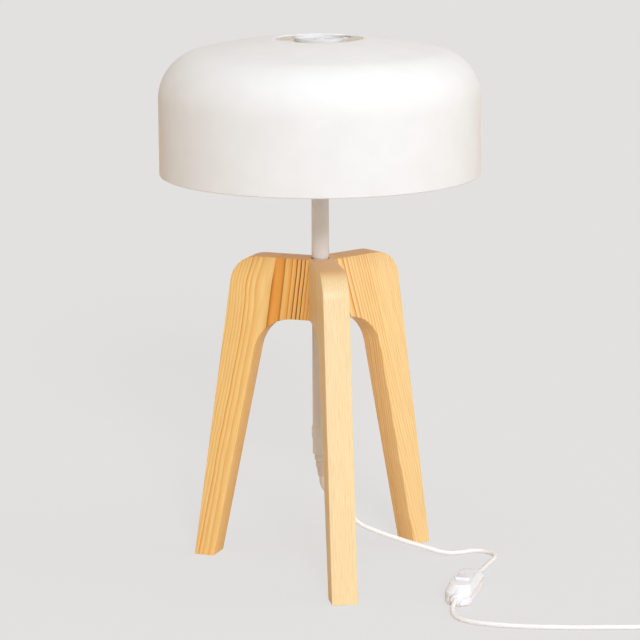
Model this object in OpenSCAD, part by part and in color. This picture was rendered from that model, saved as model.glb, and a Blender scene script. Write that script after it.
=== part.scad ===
// Tripod table lamp: three mitred pine boards carry a white tube, a screw lamp holder and a spun
// metal shade. A flat bow round the bulb holds the shade by its top opening. The lead leaves the
// tube's lower end, passes an in-line switch and ends in a two-pin plug.
// The origin is on the floor under the tube, +Z is up and the front leg points to -Y.

/* [Tripod] */
// Height of the boards' flat top above the floor
leg_h = 320.5; // [250:0.5:390]
// Height of the hub at the tube, from its flat top to its flat underside
hub_h = 62.5; // [50:0.5:75]
// Thickness of each board
board_t = 26; // [20:0.5:32]
// Distance from the tube's axis to a foot's outer edge
foot_reach = 137; // [120:1:170]
// Length of a foot along its board
foot_len = 21.5; // [16:0.5:30]
// Lean of a leg's outer edge from upright
lean_out = 8.5; // [6:0.1:11]
// Lean of a leg's inner edge from upright
lean_in = 12; // [9:0.1:14]
// Radius of the rounded shoulder
shoulder_r = 30; // [20:1:40]
// Radius of the arch between the hub and a leg
arch_r = 43; // [30:1:50]
// Turn of the tripod about the tube, so that the front leg stands a little right of the middle
tripod_turn = 9.43; // [0:0.01:20]
// Diameter of the bore through the hub
hub_bore_d = 10.6; // [10.3:0.1:12]
// Depth of the recess that the upper tube stands in
stem_seat = 3; // [2:0.5:5]
// Thickness of the steel plate under the hub
plate_t = 2; // [1.5:0.5:3]
// Reach of the plate's arms from the axis
plate_reach = 26; // [22:0.5:28]
// Width of the plate's arms
plate_w = 15; // [12:0.5:18]
// Distance from the axis to a plate screw
screw_reach = 18.5; // [16:0.5:20]
// Length of a plate screw
screw_len = 22; // [16:1:30]

/* [Tubes] */
// Outer diameter of both tubes
tube_d = 17.5; // [16:0.1:20]
// Wall of both tubes
tube_wall = 1.2; // [1:0.1:1.6]
// Height of the upper tube's top above the hub
stem_h = 65.5; // [50:0.5:120]
// Length of the lower tube below the hub
drop_len = 140; // [100:1:150]
// How far the swaged bead stands out of the lower tube
bead_h = 0.9; // [0.5:0.1:1.5]
// Height of the threaded rings in the tubes' ends
insert_h = 12; // [8:1:16]
// Diameter of the threaded nipples
nipple_d = 10; // [10:0.1:10.2]
// Bore of the threaded nipples
nipple_bore = 6.8; // [6:0.1:7.4]

/* [Shade] */
// Outer diameter of the shade
shade_d = 320; // [280:1:400]
// Thickness of the spun metal
shade_wall = 1.2; // [0.8:0.1:2]
// Height of the shade's rim above the upper tube's top
rim_rise = 21; // [16:0.5:30]
// Height of the shade's straight side
side_h = 75; // [60:0.1:100]
// Radius of the shade's shoulder
shade_shoulder_r = 49; // [35:1:55]
// Radius of the crown's arch
crown_r = 575; // [400:5:1200]
// Diameter of the top opening
opening_d = 87; // [75:1:100]
// Radius of the rolled rim
rim_roll_r = 1.6; // [1.3:0.1:2.5]

/* [Shade carrier] */
// Reach of the three arms from the axis
arm_reach = 58; // [52:1:64]
// Width of an arm
arm_w = 14; // [10:1:18]
// Thickness of the arms
arm_t = 1.8; // [1.5:0.1:2.5]
// Width of the bow's strip
bow_w = 12; // [10:1:16]
// Thickness of the bow's strip
bow_t = 2; // [1.5:0.1:2.5]
// Radius of the bow's corners
bow_corner_r = 26; // [18:1:34]
// Diameter of the round cup in the opening
cup_d = 50; // [40:1:60]
// Height of the cup's rim above its seat
cup_h = 4; // [3:0.1:6]
// Diameter of the cup's screw
cap_screw_d = 6; // [5:0.5:6]

/* [Lamp holder and bulb] */
// Outer diameter of the lamp holder
holder_d = 40; // [38:0.5:44]
// Height of the holder's base
holder_base_h = 22.8; // [20:0.1:26]
// Height of the holder's sleeve
holder_sleeve_h = 33; // [28:0.5:36]
// Outer diameter of the bulb's screw cap
bulb_cap_d = 26.2; // [26:0.1:26.4]
// Radial gap between the bulb's cap and the screw shell
bulb_gap = 0.4; // [0.3:0.05:0.6]
// Diameter of the bulb's globe
bulb_d = 60; // [45:1:64]
// Length of the bulb from its contact to its top
bulb_len = 105; // [95:1:108]

/* [Cord, switch and plug] */
// Diameter of the cord
cord_d = 4.8; // [4.5:0.1:5]
// Length of the switch between its necks
switch_len = 76; // [66:1:80]
// Width of the switch
switch_w = 27; // [26:1:36]
// Height of the switch
switch_h = 19.5; // [18:0.5:24]
// Length of each neck of the switch
neck_len = 4; // [3:0.5:10]
// Tilt of the rocker to either side
rocker_tilt = 7; // [5:0.5:8]
// Radius of the rocker's rounded ends
rocker_r = 12.7; // [11:0.1:13]
// Width of the rocker
rocker_w = 14.2; // [12:0.1:15]
// Width of the plug
plug_w = 26; // [24:0.5:28]
// Thickness of the plug
plug_t = 13.4; // [13:0.1:15]
// Diameter of a plug pin
pin_d = 4; // [4:0.1:4.8]
// Distance between the plug pins
pin_pitch = 19; // [18:0.5:19]
// Length of a plug pin outside the body
pin_len = 19; // [18:0.5:20]

/* [Fits] */
// Gap round pieces that are pushed or screwed into each other
fit_gap = 0.05; // [0.03:0.01:0.1]
// Gap between pieces that are let in or set loosely
loose_gap = 0.2; // [0.15:0.05:0.4]
// Gap between the arms' flat tips and the curved crown
crown_gap = 0.3; // [0.2:0.05:0.6]
// Gap round a piece that turns
turn_gap = 0.4; // [0.3:0.05:0.6]
// Gap round the rocker's pin
pin_gap = 0.04; // [0.02:0.01:0.08]
// Gap round the cord where it enters a piece
cord_gap = 0.15; // [0.1:0.05:0.4]

/* [Hidden] */
$fn = 96;
e = 0.01;
far = 500;

pine = "burlywood";
white = "whitesmoke";
steel = "silver";
brass = "goldenrod";

// Tripod
hub_under = leg_h - hub_h;
leg_turns = [for (i = [0:2]) -90 + tripod_turn + 120 * i];
shoulder_c = [foot_reach - (leg_h - shoulder_r) * tan(lean_out) - shoulder_r / cos(lean_out), leg_h - shoulder_r];
foot_in = foot_reach - foot_len;
arch_c = [foot_in - (hub_under - arch_r) * tan(lean_in) - arch_r / cos(lean_in), hub_under - arch_r];
arc_steps = 24;
screw_head_r = 3.6;
screw_shank_r = 1.9;
screw_head_h = screw_head_r - screw_shank_r;

// Tubes
tube_r = tube_d / 2;
tube_in_r = tube_r - tube_wall;
nipple_r = nipple_d / 2;
stem_top = leg_h + stem_h;
drop_end = hub_under - drop_len;
nipple_over = insert_h - 2;

// Cord gland below the lower tube, from its top step to its tip
gland_disc_h = 3;
gland_step_h = 7;
gland_step_r = 6.2;
gland_stem = insert_h + 16;
collar_r = 5;
collar_h = 7;
relief_tip_r = 3.1;
relief_taper_h = 10;
relief_in_r = 3.9;
relief_tip = drop_end - gland_step_h - collar_h - relief_taper_h;

// Lamp holder, stacked on the bow's foot
bow_foot_top = stem_top + bow_t;
washer_t = 1.2;
base_z = bow_foot_top + washer_t;
base_floor = 4;
nut_h = 3;
nut_r = 7.5;
holder_r = holder_d / 2;
holder_wall = 1.8;
sleeve_z = base_z + holder_base_h;
sleeve_top = sleeve_z + holder_sleeve_h;
insert_z = sleeve_z - 7;
insert_top = sleeve_z + 5;
cord_top = base_z + base_floor + nut_h + 2;
shell_in_r = bulb_cap_d / 2 + bulb_gap;
shell_t = 0.45;
shell_h = 24;
recess_r = 8;
recess_h = 2;
contact_h = 3.2;
terminal_x = 8;
terminal_r = 2;

// Bulb
bulb_z = insert_top - recess_h + contact_h + 0.35;
bulb_top = bulb_z + bulb_len;
globe_r = bulb_d / 2;
globe_z = bulb_top - globe_r;
tip_h = 1.5;
insulator_h = 2.7;
cap_len = 22.6;
cap_top = bulb_z + tip_h + insulator_h + cap_len;
neck_r = bulb_cap_d / 2 + 1.2;
neck_angle = atan2(cap_top - globe_z, neck_r) + acos(globe_r / norm([neck_r, cap_top - globe_z]));
globe_foot = [globe_r * cos(neck_angle), globe_z + globe_r * sin(neck_angle)];
globe_wall = 1.2;

// Shade
shade_r = shade_d / 2;
rim_z = stem_top + rim_rise;
shade_shoulder_c = [shade_r - shade_shoulder_r, rim_z + side_h];
crown_c = shade_shoulder_c.y - sqrt(pow(crown_r - shade_shoulder_r, 2) - pow(shade_shoulder_c.x, 2));
crown_edge = atan2(shade_shoulder_c.y - crown_c, shade_shoulder_c.x);

// Shade carrier: the arms' tips lie under the crown's inner face
arm_top = crown_c + sqrt(pow(crown_r - shade_wall, 2) - pow(arm_reach, 2)) - crown_gap;
bow_top = arm_top - arm_t;
bow_half = bulb_d / 2 + 11 + bow_t;
cup_wall = 1.2;
cap_head_r = 5.5;
cap_head_h = 2;
cap_nut_h = 5;
cap_screw_end = bow_top - bow_t - cap_nut_h - 1;

// Switch: its place on the floor and its turn, and its shells
switch_pos = [141, -106, 0];
switch_turn = 74;
switch_split = 8;
switch_shell = 2;
switch_corner = 12.5;
switch_slope = [9, 3, 6.5];
window_half = rocker_r + turn_gap;
pivot_z = 14.5;
rocker_top = 20.6;
rocker_dip = 19.6;
pin_r = 1.2;
rib_t = 2.5;
switch_pin_len = rocker_w + 2 * (turn_gap + rib_t);
terminal_at = switch_len / 2 - 14;
terminal_h = 8;
boss_r = 3;
boss_at = [switch_len / 2 - 15, switch_w / 2 - switch_shell - boss_r - 0.6];
boss_hole_r = 1.3;
screw_seat_r = 2.4;
screw_cap_h = 2;
screw_sink = 1;

// Coil: its place, its turns' inner and outer radius and its lift off the floor by the tie
coil_pos = [354, -177, 0];
coil_in_r = 20;
coil_out_r = 34.4;
coil_layers = 2;
tie_t = 0.8;
tie_w = 9;
coil_top = tie_t + coil_layers * cord_d;

// Plug: where its strain relief begins
plug_pos = [388.5, -137, plug_t / 2];
plug_relief_len = 22;
plug_body_len = 36;
pin_root = 8;
pin_core_r = pin_d / 2 - 0.5;
sleeve_len = 10;
pin_chamfer = 1;

// Routes of the cord's middle line. They begin or end inside the piece that holds them.
lamp_route = [
  [0, 0, 94], [0, 0, 90.5], [1.2, 0.2, 84.3], [4.6, 0.9, 78.4], [9.5, 1.9, 73.2], [15.2, 3, 67.8],
  [21, 4.2, 61.6], [26.6, 5.3, 54.9], [31.8, 6.4, 48.1], [37.5, 7.6, 41.9], [45.5, 9.4, 36.6],
  [56.5, 11.6, 31.2], [68.5, 14, 25.8], [80.5, 16.5, 20.8], [91, 18.5, 16.5], [102, 20.5, 12.5],
  [112.5, 22, 8.8], [122.5, 23.5, 5.2], [132, 25.5, 3],
  [141.5, 28, 2.4], [150.5, 32, 2.4], [161.5, 34.5, 2.4], [172.5, 30, 2.4], [179, 20, 2.4],
  [178, 8, 2.4], [174, -3, 2.4], [169.5, -14.5, 2.4], [165.5, -25.5, 2.4], [161, -37, 3.2],
  [157.5, -48, 5], [154.8, -58, 7], [152.5, -66, 8], [150, -74.5, 8]
];
lead_route = [
  [132, -137.5, 8], [129.4, -146.4, 8], [127.5, -155, 6.5], [126, -164, 4.6], [127, -173.5, 3],
  [131, -182.5, 2.4], [138, -190, 2.4], [147, -195.5, 2.4], [157.5, -199.5, 2.4], [169, -203, 2.4],
  [181, -205.5, 2.4], [193, -207.5, 2.4], [206, -209, 2.4], [219, -210, 2.4], [232, -211, 2.4],
  [245, -211.4, 2.4], [258, -211.4, 2.4], [271, -211.4, 2.4], [284, -211.4, 2.4],
  [297, -211.4, 2.4], [310, -211.4, 2.4], [323, -211.4, 2.4], [336, -211.4, 2.8], [348, -211.4, 3.2]
];
tail_route = [
  [388.4, -183, 8], [388.5, -172, 8], [388.5, -161, 7.6], [388.5, -150, 7], [388.5, -139, 6.7],
  [388.5, -131, 6.7]
];

// A tube between two radii and two heights
module ring(r_in, r_out, z_low, z_high) {
  translate([0, 0, z_low]) difference() {
    cylinder(r = r_out, h = z_high - z_low);
    translate([0, 0, -e]) cylinder(r = r_in, h = z_high - z_low + 2 * e);
  }
}

// A rectangle about the origin with round corners
module rounded_rect(size, r) {
  square([size.x - 2 * r, size.y], center = true);
  square([size.x, size.y - 2 * r], center = true);
  for (sx = [-1, 1], sy = [-1, 1])
    translate([sx * (size.x / 2 - r), sy * (size.y / 2 - r)]) circle(r);
}

// Unit vector
function unit(v) = v / norm(v);

// Direction of a route at point i, from its neighbours
function along(route, i) =
  unit(route[min(i + 1, len(route) - 1)] - route[max(i - 1, 0)]);

// Side vector carried from one point of a route to the next without twist
function carried(side, dir) = unit(side - (side * dir) * dir);

// A round tube swept along a route, one ring of points at each of the route's points
module swept_tube(route, r, sides = 10) {
  n = len(route);
  start = abs(along(route, 0).z) > 0.7 ? [0, 1, 0] : [0, 0, 1];
  across = [for (i = 0, s = carried(start, along(route, 0)); i < n;
            i = i + 1, s = carried(s, along(route, min(i, n - 1)))) s];
  rings = [for (i = [0:n - 1], k = [0:sides - 1])
    let (d = along(route, i), u = across[i], v = cross(d, u), a = 360 * k / sides)
    route[i] + r * (cos(a) * u + sin(a) * v)];
  walls = [for (i = [0:n - 2], k = [0:sides - 1])
    let (a = i * sides + k, b = i * sides + (k + 1) % sides)
    [a, a + sides, b + sides, b]];
  polyhedron(rings, concat([[for (k = [0:sides - 1]) k]], walls,
    [[for (k = [sides - 1:-1:0]) (n - 1) * sides + k]]), convexity = 6);
}

// ---- Tripod ----

// Points of an arc between two angles
function arc(c, r, a_from, a_to) =
  [for (i = [0:arc_steps]) let (a = a_from + (a_to - a_from) * i / arc_steps) c + r * [cos(a), sin(a)]];

// A board's outline: distance from the axis to the right, height upwards
module board_outline() {
  polygon(concat([[0, hub_under], [0, leg_h]], arc(shoulder_c, shoulder_r, 90, lean_out),
    [[foot_reach, 0], [foot_in, 0]], arc(arch_c, arch_r, lean_in, 90)));
}

// A board from above: its inner end is mitred at 60 degrees to each side
module board_plan() {
  mitre = board_t / 2 / tan(60);
  polygon([[0, 0], [mitre, -board_t / 2], [far, -board_t / 2], [far, board_t / 2], [mitre, board_t / 2]]);
}

// One arm of the plate with its round middle, grown by gap
module plate_arm(turn, gap = 0) {
  w = plate_w + 2 * gap;
  circle(plate_w * 0.75 + gap);
  rotate(turn) {
    translate([0, -w / 2]) square([plate_reach + gap - w / 2, w]);
    translate([plate_reach + gap - w / 2, 0]) circle(w / 2);
  }
}

module plate_screw_places() {
  for (a = leg_turns) rotate(a) translate([screw_reach, 0, hub_under]) children();
}

module board(turn) {
  color(pine) difference() {
    rotate(turn) intersection() {
      rotate([90, 0, 0]) translate([0, 0, -board_t / 2]) linear_extrude(board_t) board_outline();
      linear_extrude(leg_h + 1) board_plan();
    }
    cylinder(d = hub_bore_d, h = far);
    translate([0, 0, leg_h - stem_seat]) cylinder(r = tube_r + loose_gap, h = far);
    translate([0, 0, hub_under - e]) linear_extrude(plate_t + e) plate_arm(turn, loose_gap);
    plate_screw_places() cylinder(r = screw_shank_r + fit_gap, h = screw_len + 1);
  }
}

module leg_front() { board(leg_turns[0]); }
module leg_right() { board(leg_turns[1]); }
module leg_left() { board(leg_turns[2]); }

module hub_plate() {
  color(steel) difference() {
    translate([0, 0, hub_under]) linear_extrude(plate_t) for (a = leg_turns) plate_arm(a);
    cylinder(r = nipple_r + fit_gap, h = far);
    plate_screw_places() {
      translate([0, 0, -e]) cylinder(r1 = screw_head_r + fit_gap, r2 = screw_shank_r + fit_gap, h = screw_head_h);
      cylinder(r = screw_shank_r + fit_gap, h = plate_t + 1);
    }
  }
}

module hub_screws() {
  tip_h = 4;
  color(steel) plate_screw_places() difference() {
    union() {
      cylinder(r1 = screw_head_r, r2 = screw_shank_r, h = screw_head_h);
      cylinder(r = screw_shank_r, h = screw_len - tip_h);
      translate([0, 0, screw_len - tip_h]) cylinder(r1 = screw_shank_r, r2 = 0.3, h = tip_h);
    }
    for (a = [0, 90]) rotate(a) translate([-2, -0.4, -e]) cube([4, 0.8, 1]);
  }
}

module hub_nipple() {
  color(steel) ring(nipple_bore / 2, nipple_r, hub_under - nipple_over, leg_h - stem_seat + nipple_over);
}

// ---- Tubes ----

module stem_tube() {
  color(white) ring(tube_in_r, tube_r, leg_h - stem_seat, stem_top);
}

module lower_tube() {
  bead = [drop_end + 17, drop_end + 28];
  ramp = 1.5;
  color(white) rotate_extrude() polygon([
    [tube_in_r, drop_end], [tube_r, drop_end], [tube_r, bead[0] - ramp], [tube_r + bead_h, bead[0]],
    [tube_r + bead_h, bead[1]], [tube_r, bead[1] + ramp], [tube_r, hub_under], [tube_in_r, hub_under]
  ]);
}

module tube_inserts() {
  for (z = [stem_top - insert_h, leg_h - stem_seat, hub_under - insert_h, drop_end + 16])
    color(brass) ring(nipple_r + fit_gap, tube_in_r - fit_gap, z, z + insert_h);
}

module gland_body() {
  step_low = drop_end - gland_step_h;
  color(white) difference() {
    union() {
      translate([0, 0, drop_end]) cylinder(r = nipple_r, h = gland_stem);
      translate([0, 0, drop_end]) cylinder(r = tube_in_r - fit_gap, h = gland_disc_h);
      translate([0, 0, step_low]) cylinder(r = gland_step_r, h = gland_step_h + e);
    }
    translate([0, 0, step_low - e]) cylinder(r = relief_in_r + fit_gap, h = gland_step_h + 1);
    cylinder(r = cord_d / 2 + cord_gap, h = far);
  }
}

module strain_relief() {
  step_low = drop_end - gland_step_h;
  taper_top = step_low - collar_h;
  groove = 0.5;
  r = cord_d / 2 + cord_gap;
  color(white) rotate_extrude() polygon([
    [r, relief_tip], [relief_tip_r, relief_tip], [collar_r - 0.5, taper_top - groove],
    [collar_r - 1, taper_top - groove], [collar_r - 1, taper_top], [collar_r, taper_top],
    [collar_r, step_low], [relief_in_r, step_low], [relief_in_r, drop_end], [r, drop_end]
  ]);
}

module inner_cord() {
  color(white) translate([0, 0, relief_tip]) cylinder(d = cord_d, h = cord_top - relief_tip);
}

// ---- Lamp holder ----

module holder_nipple() {
  color(steel) ring(nipple_bore / 2, nipple_r, stem_top - insert_h, base_z + base_floor + nut_h + 1);
}

module holder_washer() {
  color(steel) ring(nipple_r + fit_gap, tube_r, bow_foot_top, base_z);
}

module holder_nut() {
  color(steel) translate([0, 0, base_z + base_floor]) difference() {
    cylinder(r = nut_r, h = nut_h, $fn = 6);
    translate([0, 0, -e]) cylinder(r = nipple_r + fit_gap, h = nut_h + 2 * e);
  }
}

module holder_base() {
  in_r = holder_r - holder_wall;
  color(white) rotate_extrude() polygon([
    [nipple_r + fit_gap, base_z], [11, base_z], [12.5, base_z + 1.5], [holder_r - 0.6, sleeve_z - 9.5],
    [holder_r, sleeve_z - 8], [holder_r, sleeve_z], [in_r, sleeve_z], [in_r, insert_z],
    [nut_r + 2, base_z + base_floor + 1.5], [nut_r + 1, base_z + base_floor],
    [nipple_r + fit_gap, base_z + base_floor]
  ]);
}

module holder_sleeve() {
  groove_pitch = 3;
  groove = 0.6;
  in_r = holder_r - holder_wall - 1.8;
  color(white) difference() {
    union() {
      ring(in_r, holder_r, sleeve_z, sleeve_top);
      ring(shell_in_r + shell_t + 1, in_r + e, sleeve_top - 2, sleeve_top);
    }
    for (i = [1:8]) {
      z = sleeve_z + groove_pitch * (i + 0.5);
      ring(holder_r - groove, holder_r + 1, z, z + groove_pitch / 2);
    }
  }
}

module holder_insert() {
  in_r = holder_r - holder_wall;
  color("ivory") difference() {
    union() {
      translate([0, 0, insert_z]) cylinder(r = in_r - fit_gap, h = sleeve_z - insert_z);
      translate([0, 0, insert_z]) cylinder(r = in_r - 1.8 - fit_gap, h = insert_top - insert_z);
    }
    translate([0, 0, insert_top - recess_h]) cylinder(r = recess_r, h = recess_h + 1);
    for (s = [-1, 1]) translate([s * terminal_x, 0, insert_z - e]) cylinder(r = terminal_r + fit_gap, h = 6);
  }
}

module screw_shell() {
  r_out = shell_in_r + shell_t;
  color(brass) {
    ring(shell_in_r, r_out, insert_top, insert_top + shell_h);
    ring(recess_r + 1, shell_in_r + e, insert_top, insert_top + shell_t);
  }
}

module centre_contact() {
  z = insert_top - recess_h;
  color(brass) {
    translate([-6, -2.5, z]) cube([12, 5, 0.8]);
    translate([0, 0, z]) cylinder(r = 2.5, h = contact_h);
  }
}

module holder_terminals() {
  for (s = [-1, 1])
    color(brass) translate([s * terminal_x, 0, insert_z - 2]) cylinder(r = terminal_r, h = 7.5);
}

module holder_wires() {
  wire_r = 0.9;
  low = [2.2, 0, cord_top];
  high = [terminal_x, 0, insert_z - 2];
  rise = high - low;
  for (s = [0, 180]) color(s == 0 ? "saddlebrown" : "royalblue") rotate(s) intersection() {
    translate(low) rotate([0, atan2(rise.x, rise.z), 0]) translate([0, 0, -2]) cylinder(r = wire_r, h = norm(rise) + 4);
    translate([0, -wire_r, cord_top]) cube([2 * terminal_x, 2 * wire_r, insert_z - 2 - cord_top]);
  }
}

// ---- Bulb ----

module bulb_contact() {
  color(steel) translate([0, 0, bulb_z]) cylinder(r1 = 3.6, r2 = 4.8, h = tip_h);
}

module bulb_insulator() {
  color("dimgray") translate([0, 0, bulb_z + tip_h]) cylinder(r1 = 5.5, r2 = 10.5, h = insulator_h);
}

module bulb_cap() {
  color(steel) translate([0, 0, cap_top - cap_len]) {
    cylinder(r1 = bulb_cap_d / 2 - 1.6, r2 = bulb_cap_d / 2, h = 2);
    translate([0, 0, 2]) cylinder(d = bulb_cap_d, h = cap_len - 2);
  }
}

module bulb_body() {
  color(white) rotate_extrude() polygon([
    [0, cap_top], [neck_r - 0.8, cap_top], [neck_r, cap_top + 1.5], globe_foot, [0, globe_foot.y]
  ]);
}

module bulb_globe() {
  color("white") rotate_extrude() difference() {
    translate([0, globe_z]) circle(globe_r);
    translate([0, globe_z]) circle(globe_r - globe_wall);
    translate([-far, -far]) square([far, 3 * far]);
    square([far, globe_foot.y]);
  }
}

// ---- Shade and its carrier ----

module harp() {
  foot = stem_top;
  size = [2 * bow_half, bow_top - foot];
  color(white) difference() {
    translate([0, 0, foot + size.y / 2]) rotate([90, 0, 90]) linear_extrude(bow_w, center = true) difference() {
      rounded_rect(size, bow_corner_r);
      rounded_rect(size - 2 * [bow_t, bow_t], bow_corner_r - bow_t);
    }
    translate([0, 0, foot - 1]) cylinder(r = nipple_r + fit_gap, h = bow_t + 2);
    translate([0, 0, bow_top - bow_t - 1]) cylinder(r = cap_screw_d / 2 + fit_gap, h = bow_t + 2);
  }
}

module spider() {
  boss = 15;
  color(white) translate([0, 0, bow_top]) linear_extrude(arm_t) difference() {
    union() {
      circle(boss);
      for (a = [180, 60, -60]) rotate(a) {
        translate([0, -arm_w / 2]) square([arm_reach - arm_w / 2, arm_w]);
        translate([arm_reach - arm_w / 2, 0]) circle(arm_w / 2);
      }
    }
    circle(cap_screw_d / 2 + fit_gap);
  }
}

// Half section of the shade's outer face, moved in by inset
module shade_section(inset) {
  reach = shade_shoulder_r + 30;
  translate([0, rim_z - inset]) square([shade_r - inset, side_h + inset]);
  translate(shade_shoulder_c) circle(shade_shoulder_r - inset);
  intersection() {
    translate([0, crown_c]) circle(crown_r - inset, $fn = 256);
    polygon([[0, shade_shoulder_c.y], shade_shoulder_c,
      shade_shoulder_c + reach * [cos(crown_edge), sin(crown_edge)], [0, shade_shoulder_c.y + 2 * reach]]);
  }
}

module shade() {
  color(white) rotate_extrude($fn = 180) {
    difference() {
      shade_section(0);
      shade_section(shade_wall);
      square([opening_d / 2, far + 2 * rim_z]);
    }
    translate([shade_r - rim_roll_r, rim_z + rim_roll_r]) circle(rim_roll_r, $fn = 32);
  }
}

module top_cap() {
  r = cup_d / 2;
  round_r = 1.6;
  color(white) difference() {
    translate([0, 0, arm_top]) rotate_extrude() difference() {
      union() {
        square([r - round_r, cup_h]);
        translate([0, round_r]) square([r, cup_h - round_r]);
        translate([r - round_r, round_r]) circle(round_r);
      }
      translate([0, cup_wall]) square([r - cup_wall, cup_h]);
    }
    translate([0, 0, arm_top - 1]) cylinder(r = cap_screw_d / 2 + fit_gap, h = cup_h);
  }
}

module cap_screw() {
  head_z = arm_top + cup_wall;
  color(steel) difference() {
    union() {
      translate([0, 0, cap_screw_end]) cylinder(d = cap_screw_d, h = head_z - cap_screw_end + e);
      translate([0, 0, head_z]) cylinder(r1 = cap_head_r, r2 = cap_head_r - 1.2, h = cap_head_h);
    }
    translate([-far, -0.6, head_z + 1]) cube([2 * far, 1.2, far]);
  }
}

module cap_nut() {
  color(steel) translate([0, 0, bow_top - bow_t - cap_nut_h]) difference() {
    cylinder(r = 5.8, h = cap_nut_h, $fn = 6);
    translate([0, 0, -e]) cylinder(r = cap_screw_d / 2 + fit_gap, h = cap_nut_h + 2 * e);
  }
}

// ---- In-line switch: drawn along X, then turned and set on the floor ----

module at_switch() {
  translate(switch_pos) rotate(switch_turn) children();
}

module switch_outline(inset = 0) {
  rounded_rect([switch_len - 2 * inset, switch_w - 2 * inset], switch_corner - inset);
}

// Both necks with their cord holes are round and split between the shells
module switch_necks(cut) {
  for (s = [0, 180]) rotate(s) translate([switch_len / 2 - 3, 0, switch_split]) rotate([0, 90, 0]) {
    if (cut) translate([0, 0, -4]) cylinder(r = cord_d / 2 + cord_gap, h = neck_len + 20);
    else cylinder(r1 = 6, r2 = 4.4, h = neck_len + 3);
  }
}

module boss_places() {
  for (s = [-1, 1]) translate([s * boss_at.x, -s * boss_at.y, 0]) children();
}

module switch_base() {
  foot = 2;
  color(white) at_switch() difference() {
    union() {
      hull() {
        linear_extrude(1) switch_outline(foot, $fn = 32);
        translate([0, 0, foot]) linear_extrude(switch_split - foot) switch_outline(0, $fn = 32);
      }
      intersection() {
        switch_necks(false);
        translate([-far, -far, 0]) cube([2 * far, 2 * far, switch_split]);
      }
    }
    difference() {
      translate([0, 0, switch_shell]) linear_extrude(far) switch_outline(switch_shell + 1);
      boss_places() cylinder(r = boss_r, h = far);
    }
    switch_necks(true);
    boss_places() {
      cylinder(r = boss_hole_r, h = far);
      translate([0, 0, -e]) cylinder(r = screw_seat_r + loose_gap, h = screw_sink + screw_cap_h + 2 * e);
    }
  }
}

// The cover with its slopes, longer at the ends than at the sides. Its hollow has the same form, smaller
module cover_form(wall, roof, low) {
  high = switch_h - switch_slope.z - roof / 2;
  top = [switch_len, switch_w] - 2 * [switch_slope.x + wall, switch_slope.y + wall];
  hull() {
    translate([0, 0, low]) linear_extrude(high - low) switch_outline(wall, $fn = 32);
    translate([0, 0, switch_h - roof - 1]) linear_extrude(1)
      rounded_rect(top, switch_corner - wall - switch_slope.y, $fn = 32);
  }
}

module switch_cover() {
  color(white) at_switch() difference() {
    union() {
      cover_form(0, 0, switch_split);
      intersection() {
        switch_necks(false);
        translate([-far, -far, switch_split]) cube([2 * far, 2 * far, far]);
      }
    }
    difference() {
      cover_form(switch_shell + 1, switch_shell, -1);
      translate([0, 0, switch_split]) {
        boss_places() cylinder(r = boss_r, h = far);
        for (s = [-1, 1]) translate([-4, (s * (rocker_w + 2 * turn_gap + rib_t) - rib_t) / 2, 3])
          cube([8, rib_t, far]);
      }
    }
    translate([-window_half, -rocker_w / 2 - turn_gap, 10]) cube([2 * window_half, rocker_w + 2 * turn_gap, far]);
    switch_necks(true);
    translate([0, 0, pivot_z]) rotate([90, 0, 0])
      cylinder(r = pin_r + fit_gap, h = switch_pin_len + 2 * fit_gap, center = true);
    boss_places() cylinder(r = boss_hole_r - loose_gap, h = switch_split + 7);
  }
}

// The rocker rests tilted to its lamp end
module switch_rocker() {
  color(white) at_switch() translate([0, 0, pivot_z]) rotate([0, rocker_tilt, 0]) rotate([90, 0, 0]) difference() {
    linear_extrude(rocker_w, center = true) intersection() {
      circle(rocker_r);
      polygon([[-rocker_r, -1], [-rocker_r, rocker_top - pivot_z], [0, rocker_dip - pivot_z],
        [rocker_r, rocker_top - pivot_z], [rocker_r, -1], [3.5, -3], [-3.5, -3]]);
    }
    cylinder(r = pin_r + pin_gap, h = far, center = true);
  }
}

module switch_pin() {
  color(steel) at_switch() translate([0, 0, pivot_z]) rotate([90, 0, 0])
    cylinder(r = pin_r, h = switch_pin_len, center = true);
}

module switch_contacts() {
  for (s = [0, 180]) color(brass) at_switch() rotate(s) {
    translate([6, -3, switch_shell]) cube([10, 6, 0.8]);
    translate([6, -3, switch_shell]) cube([0.8, 6, 6.5]);
  }
}

module switch_terminals() {
  for (s = [0, 180]) color(brass) at_switch() rotate(s) translate([terminal_at, 0, switch_shell]) {
    translate([-4, -3.5, 0]) cube([8, 7, terminal_h]);
    translate([0, 0, terminal_h]) cylinder(r = 2, h = 1.5);
  }
}

module switch_wires() {
  reach = [terminal_at + 4, switch_len / 2 - 5.5];
  for (s = [0, 180], y = [-1.3, 1.3]) color(y < 0 ? "saddlebrown" : "royalblue") at_switch() rotate(s)
    translate([reach[0], y, switch_split]) rotate([0, 90, 0]) cylinder(r = 1, h = reach[1] - reach[0]);
}

// Two clips that straddle the wires beside the necks
module cord_clamps() {
  inner = cord_d / 2 + loose_gap;
  leg = 2.4;
  top = switch_split + inner - switch_shell;
  for (s = [0, 180]) color(white) at_switch() rotate(s)
    translate([switch_len / 2 - 9, 0, switch_shell]) difference() {
      translate([0, -inner - leg, 0]) cube([3, 2 * (inner + leg), top + leg]);
      translate([-e, -inner, -e]) cube([4, 2 * inner, top + e]);
    }
}

module switch_screws() {
  color(steel) at_switch() boss_places() translate([0, 0, screw_sink]) {
    cylinder(r = screw_seat_r, h = screw_cap_h);
    cylinder(r = boss_hole_r - loose_gap - fit_gap, h = 12);
  }
}

// ---- Lead, coil and plug ----

module cord_lamp() { color(white) swept_tube(lamp_route, cord_d / 2); }
module cord_lead() { color(white) swept_tube(lead_route, cord_d / 2); }
module cord_tail() { color(white) swept_tube(tail_route, cord_d / 2); }

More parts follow.
